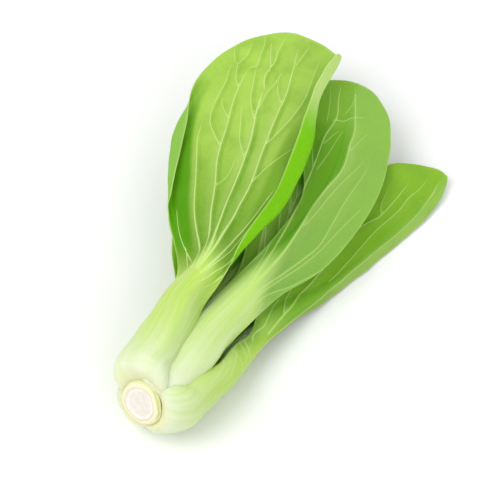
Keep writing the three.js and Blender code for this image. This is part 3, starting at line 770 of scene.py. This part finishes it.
def new_group(name, inputs, outputs):
    tree = bpy.data.node_groups.new(name, "ShaderNodeTree")
    for label in inputs:
        tree.interface.new_socket(label, in_out="INPUT", socket_type="NodeSocketFloat")
    for label, kind in outputs:
        tree.interface.new_socket(label, in_out="OUTPUT", socket_type=kind)
    nodes = Nodes(tree)
    return tree, nodes, nodes.add("NodeGroupInput").outputs, nodes.add("NodeGroupOutput").inputs


def stalk_grain_group():
    """Long fibres of a leaf stalk: pale and green streaks, and a fine grain, that run along it."""
    tree, n, given, result = new_group(
        "stalk_grain", ["Across", "Along"], [("Streak", "NodeSocketFloat"), ("Grain", "NodeSocketFloat")]
    )
    broad = n.vector(n.times(given["Across"], 0.3), n.times(given["Along"], 0.02))
    thin = n.vector(n.times(given["Across"], 1.5), n.times(given["Along"], 0.035))
    n.put(n.noise(broad, 1.0, 2.0), result["Streak"])
    n.put(n.noise(thin, 1.0, 4.0, 0.6), result["Grain"])
    return tree


def leaf_skin_group():
    """Blade skin: broad patches of tone, a grain of tiny cells and a height for both."""
    tree, n, given, result = new_group(
        "leaf_skin", ["Across", "Along"],
        [("Patch", "NodeSocketFloat"), ("Net", "NodeSocketFloat"), ("Height", "NodeSocketFloat")],
    )
    place = n.vector(given["Across"], given["Along"])
    n.put(n.noise(place, 0.07, 4.0, 0.55), result["Patch"])
    coarse = n.net_lines(place, 0.3, 0.07)
    close = n.net_lines(place, 0.85, 0.1)
    lines = n.maths("MULTIPLY_ADD", close, 0.45, coarse, clamp=True)
    n.put(lines, result["Net"])
    grain = n.noise(place, 2.6, 3.0, 0.6)
    n.put(n.maths("MULTIPLY_ADD", lines, 0.6, grain), result["Height"])
    return tree


def vein_group():
    """Crisp vein lines from the signed and the plain distance to the nearest vein and its half width."""
    tree, n, given, result = new_group("vein_lines", ["Side", "Gap", "Half"], [("Line", "NodeSocketFloat")])
    edge = n.times(given["Half"], 1.25)
    line = n.ramp(n.maths("ABSOLUTE", given["Side"]), n.times(edge, 0.25), edge, 1.0, 0.0)
    near = n.ramp(given["Gap"], n.maths("ADD", edge, 0.25), n.maths("ADD", edge, 0.6), 1.0, 0.0)
    strong = n.ramp(given["Half"], 0.03, 0.14)
    n.put(n.times(n.times(line, near), strong), result["Line"])
    return tree


STALK_GRAIN = stalk_grain_group()
VEIN_LINES = vein_group()
LEAF_SKIN = leaf_skin_group()
STALK_WHITE = colour(238, 242, 222)


def look(left, right, low, vein, front, shade, stalk_green, pale_for, **more):
    """The colours of a kind of leaf, and the length over which its stalk turns from white to green."""
    tones = {
        "left": left,
        "right": right,
        "low": low,
        "vein": vein,
        "front": front,
        "front_left": more.get("front_left", front),
        "flap": more.get("flap", front),
        "shade": shade,
        "stalk_green": stalk_green,
        "stalk_left": more.get("stalk_left", stalk_green),
        "stalk_right": more.get("stalk_right", stalk_green),
    }
    facts = {name: colour(*tone) for name, tone in tones.items()}
    return {**facts, "pale_for": pale_for, "band_depth": more.get("band_depth", 0.9)}


# bright and deep greens partly paint light and shade; young is lightened as painted light in the gaps
LOOKS = {
    "bright": look(
        (178, 220, 92), (174, 215, 92), (112, 164, 34), (216, 242, 150), (126, 208, 0), (84, 158, 0),
        (188, 220, 96), 16, stalk_right=(164, 202, 72), front_left=(148, 206, 84), flap=(206, 238, 138),
    ),
    "broad": look(
        (140, 190, 58), (150, 200, 84), (136, 186, 82), (192, 226, 124), (100, 180, 10), (96, 166, 4),
        (190, 222, 112), 26, stalk_left=(164, 200, 84), band_depth=0.75,
    ),
    "deep": look(
        (144, 196, 52), (162, 208, 94), (124, 178, 52), (192, 226, 124), (110, 180, 14), (120, 184, 16),
        (178, 212, 84), 15, stalk_right=(196, 226, 118), band_depth=0.6,
    ),
    "young": look(
        (160, 208, 92), (160, 208, 92), (130, 184, 50), (200, 232, 140), (130, 190, 50), (90, 150, 10),
        (190, 224, 100), 20,
    ),
    "heart": look(
        (166, 206, 70), (166, 206, 70), (150, 196, 60), (206, 230, 140), (150, 200, 50), (120, 170, 20),
        (196, 222, 110), 20,
    ),
}


def blade_colour(n, leaf, tones, skin, vein):
    """The blade's green: its back, its front where a margin is turned over, and its veins, with painted
    light and shade.
    """
    across, along, back = n.mark("across_mm"), n.mark("along_mm"), n.mark("back")
    # the two halves of the blade differ in green as painted light and shade
    green = n.mix(n.ramp(across, -3.0, 3.0), tones["left"], tones["right"])
    green = n.mix(n.ramp(along, leaf.blade_from + 85.0, leaf.blade_from + 10.0), green, tones["low"])
    green = n.mix(n.ramp(skin["Patch"], 0.4, 0.7, 0.0, 0.3), green, tones["low"])
    # painted light on the gentle, raised side of each vein's pleat
    green = n.mix(n.ramp(n.mark("pleat"), 0.1, 1.0, 0.0, 0.25), green, tones["vein"])
    # painted shade along the steep side of each vein's pleat
    green = n.mix(n.ramp(n.mark("groove"), 0.0, 1.0, 0.0, 0.6), green, tones["low"])
    green = n.mix(n.times(skin["Net"], 0.08), green, tones["vein"])
    # painted shade in the valleys beside the rib and under the turned-over left margin
    green = n.mix(n.times(n.mark("band_left"), tones["band_depth"]), green, tones["shade"])
    # painted shadow beside the turned-over right strip
    green = n.mix(n.times(n.mark("band_right"), 0.7), green, tones["low"])

    # the left turned-over strip is paler than the right: painted sheen
    inner = n.mix(n.ramp(across, -4.0, 4.0), tones["front_left"], tones["front"])
    # painted light on the turned-over flap at the top of the right margin
    on_flap = n.times(n.ramp(along, 142.0, 172.0), n.ramp(across, 4.0, 10.0))
    inner = n.mix(on_flap, inner, tones["flap"])
    inner = n.mix(n.times(skin["Net"], 0.06), inner, tones["vein"])
    turned = n.ramp(n.mark("turned"), 0.0, 0.5, 0.4, 1.0)
    on_front = n.times(n.maths("SUBTRACT", 1.0, back), turned)
    green = n.mix(on_front, green, inner)

    on_vein = n.times(vein, n.ramp(back, 0.0, 1.0, 0.3, 0.95))
    green = n.mix(on_vein, green, tones["vein"])
    return n.mix(n.times(n.mark("rim"), 0.6), green, tones["vein"])


def stalk_colour(n, tones, grain, vein):
    """The stalk's white at its root, turning green towards the blade, with long streaks and painted light
    and shade on its sides.
    """
    across, along = n.mark("across_mm"), n.mark("along_mm")
    fade = n.maths("EXPONENT", n.maths("DIVIDE", along, -float(tones["pale_for"])))
    streak = n.ramp(grain["Streak"], 0.35, 0.65, -0.07, 0.07)
    greener = n.maths("ADD", n.maths("SUBTRACT", 1.0, fade), streak, clamp=True)
    # painted light and shade: one side of the stalk lighter or darker as the light falls
    tone = n.mix(n.ramp(across, -2.5, -7.0), tones["stalk_green"], tones["stalk_left"])
    tone = n.mix(n.ramp(across, 2.5, 7.0), tone, tones["stalk_right"])
    stalk = n.mix(greener, STALK_WHITE, tone)
    pale_streak = n.ramp(grain["Streak"], 0.52, 0.7, 0.0, 0.3)
    stalk = n.mix(n.times(pale_streak, greener), stalk, tones["vein"])
    stalk = n.mix(n.ramp(grain["Grain"], 0.5, 0.75, 0.0, 0.2), stalk, STALK_WHITE)
    dark_streak = n.ramp(grain["Grain"], 0.5, 0.28, 0.0, 0.14)
    stalk = n.mix(n.times(dark_streak, greener), stalk, tones["low"])
    stalk = n.mix(n.ramp(along, 0.0, 5.0, 0.5, 0.0), stalk, colour(222, 222, 138))
    return n.mix(n.times(vein, 0.5), stalk, tones["vein"])


def leaf_material(leaf):
    """Waxy skin over a pale stalk and a green blade that lets some light through."""
    tones = LOOKS[leaf.look]
    material = bpy.data.materials.new(leaf.node + "_skin")
    material.use_nodes = True
    tree = material.node_tree
    tree.nodes.clear()
    n = Nodes(tree)
    across, along, blade = n.mark("across_mm"), n.mark("along_mm"), n.mark("blade")
    skin = n.group(LEAF_SKIN, Across=across, Along=along)
    grain = n.group(STALK_GRAIN, Across=across, Along=along)
    side, gap, half = n.mark("vein_side"), n.mark("vein_gap"), n.mark("vein_half")
    vein = n.group(VEIN_LINES, Side=side, Gap=gap, Half=half)["Line"]
    base = n.mix(blade, stalk_colour(n, tones, grain, vein), blade_colour(n, leaf, tones, skin, vein))

    height = n.times(skin["Height"], blade)
    fibres = n.times(grain["Grain"], n.maths("SUBTRACT", 1.0, blade))
    bump = n.bump(n.maths("ADD", height, fibres), 0.35, 0.00012)

    shader = n.add("ShaderNodeBsdfPrincipled")
    n.put(base, shader.inputs["Base Color"])
    n.put(n.ramp(blade, 0.0, 1.0, 0.3, 0.46), shader.inputs["Roughness"])
    n.put(bump, shader.inputs["Normal"])
    shader.inputs["Subsurface Weight"].default_value = 0.2
    shader.inputs["Subsurface Radius"].default_value = (0.7, 1.0, 0.3)
    shader.inputs["Subsurface Scale"].default_value = 0.005
    shader.inputs["Specular IOR Level"].default_value = 0.12
    n.put(n.ramp(blade, 0.0, 1.0, 0.2, 0.02), shader.inputs["Coat Weight"])
    shader.inputs["Coat Roughness"].default_value = 0.2

    through = n.add("ShaderNodeBsdfTranslucent")
    n.put(n.mix(0.4, base, colour(176, 236, 20)), through.inputs["Color"])
    both = n.add("ShaderNodeMixShader")
    n.put(n.ramp(blade, 0.0, 1.0, 0.08, 0.24), both.inputs[0])
    tree.links.new(shader.outputs[0], both.inputs[1])
    tree.links.new(through.outputs[0], both.inputs[2])
    output = n.add("ShaderNodeOutputMaterial")
    tree.links.new(both.outputs[0], output.inputs["Surface"])
    return material


def crown_material():
    """Freshly cut stem: pale pith, a tan line round it, a cream collar and a few dried specks."""
    material = bpy.data.materials.new("crown_flesh")
    material.use_nodes = True
    n = Nodes(material.node_tree)
    shader = material.node_tree.nodes["Principled BSDF"]
    place = n.add("ShaderNodeTexCoord").outputs["Object"]
    radius = n.mark("radius_mm")
    mottled = n.noise(place, 500.0, 4.0, 0.6)
    wander = n.maths("MULTIPLY_ADD", n.noise(place, 160.0, 2.0), 1.2, n.maths("SUBTRACT", radius, 0.6))
    flesh = n.mix(n.ramp(mottled, 0.3, 0.75), colour(232, 225, 216), colour(220, 213, 200))
    flesh = n.mix(n.times(n.ring_line(wander, 6.7, 1.1), 0.5), flesh, colour(244, 243, 238))
    flesh = n.mix(n.ramp(wander, 7.3, 8.4), flesh, colour(232, 227, 194))
    flesh = n.mix(n.ramp(wander, 9.2, 10.4), flesh, colour(226, 229, 180))
    broken = n.ramp(n.noise(place, 90.0, 3.0), 0.4, 0.6, 0.15, 0.8)
    flesh = n.mix(n.times(n.ring_line(wander, 7.9, 0.35), broken), flesh, colour(206, 188, 118))
    olive = n.ramp(n.mark("worn"), 0.0, 0.5, 0.2, 0.8)
    edge = n.times(n.ring_line(wander, 10.2, 0.5), olive)
    flesh = n.mix(edge, flesh, colour(190, 188, 96))
    specks = n.ramp(n.noise(place, 700.0, 2.0), 0.66, 0.72)
    at_rim = n.times(n.ring_line(radius, 8.9, 1.3), specks)
    flesh = n.mix(n.times(at_rim, n.mark("worn")), flesh, colour(130, 104, 60))
    n.put(flesh, shader.inputs["Base Color"])
    shader.inputs["Roughness"].default_value = 0.55
    shader.inputs["Subsurface Weight"].default_value = 0.15
    shader.inputs["Subsurface Radius"].default_value = (1.0, 0.9, 0.6)
    shader.inputs["Subsurface Scale"].default_value = 0.003
    n.put(n.bump(mottled, 0.5, 0.0003), shader.inputs["Normal"])
    return material


# ---- the crown

CROWN_OUTLINE = [
    (0, 0), (8, 0), (9.2, 0.2), (10.2, 0.8), (10.6, 2), (10.1, 3.4), (8.6, 5), (6, 8), (2.5, 13), (0, 14),
]
CROWN_ROWS = 120
CROWN_STEPS = 96
CROWN_WORN_AT = -0.7  # the side of the rim with dried specks, radians around the crown
CROWN_MEAN_RADIUS = 8.2
CUT_DEPTH = 2.1  # the cut and its rounded rim lie within this of the foremost place


def crown_relief(points):
    """An uneven rim, a dished pith and fine cut marks on the plain turned plug (axis along z)."""
    angle = np.arctan2(points[:, 1], points[:, 0])
    radius = np.hypot(points[:, 0], points[:, 1])
    on_cut = points[:, 2] < CUT_DEPTH
    lobes = 0.2 * np.sin(3 * angle + 0.4) + 0.12 * np.sin(5 * angle + 2.0) + 0.05 * np.sin(13 * angle)
    scale = 1 + lobes / CROWN_MEAN_RADIUS
    points[:, 0] *= scale
    points[:, 1] *= scale
    dish = 0.5 * ease((7.8 - radius) / 1.0) - 0.25 * np.exp(-(((radius - 8.9) / 0.8) ** 2))
    marks = 0.04 * np.sin(points[:, 0] * 2.2 + np.sin(points[:, 1])) * ease((7.6 - radius) / 2)
    points[:, 2] += np.where(on_cut, dish + marks, 0)
    worn = ease(np.cos(angle - CROWN_WORN_AT) - 0.4)
    return points, {"radius_mm": radius, "worn": worn}


def make_crown():
    shape = bmesh.new()
    knots = np.array(CROWN_OUTLINE, float)
    run = np.concatenate([[0], np.cumsum(np.hypot(*np.diff(knots, axis=0).T))])
    outline = np.maximum(curve_at(run, knots, np.linspace(0, run[-1], CROWN_ROWS)), 0)
    corners = [shape.verts.new((radius, 0, depth)) for radius, depth in outline]
    edges = [shape.edges.new(pair) for pair in zip(corners[:-1], corners[1:])]
    bmesh.ops.spin(
        shape, geom=corners + edges, cent=(0, 0, 0), axis=(0, 0, 1), angle=2 * math.pi,
        steps=CROWN_STEPS, use_merge=True,
    )
    bmesh.ops.remove_doubles(shape, verts=shape.verts[:], dist=1e-4)
    bmesh.ops.recalc_face_normals(shape, faces=shape.faces[:])
    piece = mesh_object("crown_stem", shape)
    points, marks = crown_relief(read_points(piece.data))
    inward = -Vector(CROWN_FACING).normalized()
    turn = np.array(Vector((0, 0, 1)).rotation_difference(inward).to_matrix())
    write_points(piece.data, to_frame(points @ turn.T + np.array(CUT_CENTRE)))
    write_marks(piece.data, marks)
    piece.data.materials.append(crown_material())
    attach(piece, "root")
    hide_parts("crown")


# ---- the studio


def plain_material(name, tone, roughness):
    material = bpy.data.materials.new(name)
    material.use_nodes = True
    shader = material.node_tree.nodes["Principled BSDF"]
    shader.inputs["Base Color"].default_value = tone
    shader.inputs["Roughness"].default_value = roughness
    return material


FLOOR_HALF_SIZE = 3  # metres
FLOOR_TONE = (0.93, 0.93, 0.93, 1)
WORLD_STRENGTH = 0.7
# A soft light's name, place, width and power.
LIGHTS = [
    ("key_light", (-0.45, -0.55, 1.2), 1.0, 9),
    ("fill_light", (0.8, -0.4, 0.8), 0.9, 3),
    ("back_light", (0.3, 1.1, 0.7), 0.8, 2),
]


def make_floor():
    shape = bmesh.new()
    bmesh.ops.create_grid(shape, x_segments=1, y_segments=1, size=FLOOR_HALF_SIZE)
    floor = mesh_object("floor", shape)
    floor.data.materials.append(plain_material("floor_paper", FLOOR_TONE, 0.6))


def add_soft_light(name, place, size, power):
    light = bpy.data.lights.new(name, "AREA")
    light.shape = "DISK"
    light.size = size
    light.energy = power
    lamp = bpy.data.objects.new(name, light)
    lamp.location = place
    lamp.rotation_euler = (-Vector(place)).to_track_quat("-Z", "Y").to_euler()
    bpy.context.scene.collection.objects.link(lamp)


def make_studio():
    make_floor()
    world = bpy.data.worlds.new("studio")
    world.use_nodes = True
    sky = world.node_tree.nodes["Background"]
    sky.inputs["Color"].default_value = (1, 1, 1, 1)
    sky.inputs["Strength"].default_value = WORLD_STRENGTH
    bpy.context.scene.world = world
    for light in LIGHTS:
        add_soft_light(*light)
    bpy.context.scene.view_settings.view_transform = "Standard"


# The camera stands 57 degrees above the surface and 30 degrees to the right of the cut end's side.
CAMERA_TURN = 30 * DEGREE
CAMERA_HEIGHT = 57 * DEGREE
CAMERA_LENS = 155.5
CAMERA_SENSOR = 36
CAMERA_REACH = 20
CAMERA_OFFSET = (0.0491, 0.0685, 0.96)  # right of, above and away from the middle of the cut


def make_camera():
    right = np.array([math.cos(CAMERA_TURN), math.sin(CAMERA_TURN), 0])
    away = np.array([
        math.sin(CAMERA_TURN) * math.cos(CAMERA_HEIGHT),
        -math.cos(CAMERA_TURN) * math.cos(CAMERA_HEIGHT),
        math.sin(CAMERA_HEIGHT),
    ])
    up = np.cross(away, right)
    cut = cut_centre_in_frame()
    place = cut + CAMERA_OFFSET[0] * right + CAMERA_OFFSET[1] * up + CAMERA_OFFSET[2] * away
    lens = bpy.data.cameras.new("camera")
    lens.lens = CAMERA_LENS
    lens.sensor_width = CAMERA_SENSOR
    lens.clip_end = CAMERA_REACH
    camera = bpy.data.objects.new("camera", lens)
    turn = Matrix((right, up, away)).transposed()
    camera.matrix_world = Matrix.Translation(Vector(place)) @ turn.to_4x4()
    bpy.context.scene.collection.objects.link(camera)
    bpy.context.scene.camera = camera


def make_leaves():
    swollen = (62, 62, 60, 55, 50)
    second = (60, 60, 60, 56, 50)
    third = (66, 66, 66, 60, 54)
    third_top = (70, 70, 70, 66, 60)
    leaves = [
        Leaf("leaf_outer_top", "outer_leaf", "outer", -22, (84, 84, 84, 82, 76), (59, 59, 56, 46, 36),
             (37, 13), (150, 300), folds=(0.8, 0.7), look="bright", lean=-1, ruffle=0.3, blade_from=62,
             rib_run=26, seed=3),
        Leaf("leaf_outer_right", "outer_leaf", "outer", 104, (77, 76, 73, 67, 52), (60, 60, 60, 56, 46),
             (26, 26), (120, 270), look="deep", ruffle=0.25, quilt=0.6, blade_from=50, rib_run=50, seed=5),
        Leaf("leaf_outer_under", "outer_leaf", "outer", 214, (50, 50, 50, 50, 46), (36, 36, 36, 38, 40),
             (28, 28), (110, 220), look="bright", ruffle=0.5, seed=7),
        Leaf("leaf_second_top", "middle_leaf", "swollen", 28, swollen, swollen,
             (22, 22), (130, 270), look="broad", ruffle=0.4, blade_from=66, rib_run=44, root_run=7, seed=11),
        Leaf("leaf_second_under", "middle_leaf", "second", 160, second, second,
             (24, 24), (80, 160), look="deep", seed=13),
        Leaf("leaf_second_left", "middle_leaf", "second", -88, second, second,
             (22, 22), (90, 180), look="deep", seed=17),
        Leaf("leaf_third_top", "inner_leaf", "third", -12, third_top, third_top,
             (18, 18), (100, 200), look="young", blade_from=72, seed=19),
        Leaf("leaf_third_right", "inner_leaf", "third", 96, third, third,
             (18, 18), (70, 130), look="young", seed=23),
        Leaf("leaf_third_under", "inner_leaf", "third", 212, third, third,
             (18, 18), (70, 130), look="young", seed=29),
        Leaf("leaf_heart_large", "heart_leaf", "heart", -20, (60,) * 5, (60,) * 5,
             (14, 14), (50, 110), look="heart", blade_from=40, ruffle=0.4, seed=31),
        Leaf("leaf_heart_middle", "heart_leaf", "heart", 120, (58,) * 5, (58,) * 5,
             (12, 12), (50, 100), look="heart", blade_from=38, ruffle=0.4, seed=37),
        Leaf("leaf_heart_small", "heart_leaf", "heart", -140, (56,) * 5, (56,) * 5,
             (9, 9), (40, 80), look="heart", blade_from=36, ruffle=0.3, seed=41),
    ]
    for leaf in leaves:
        make_leaf(leaf)


make_camera()
make_crown()
make_leaves()
make_studio()
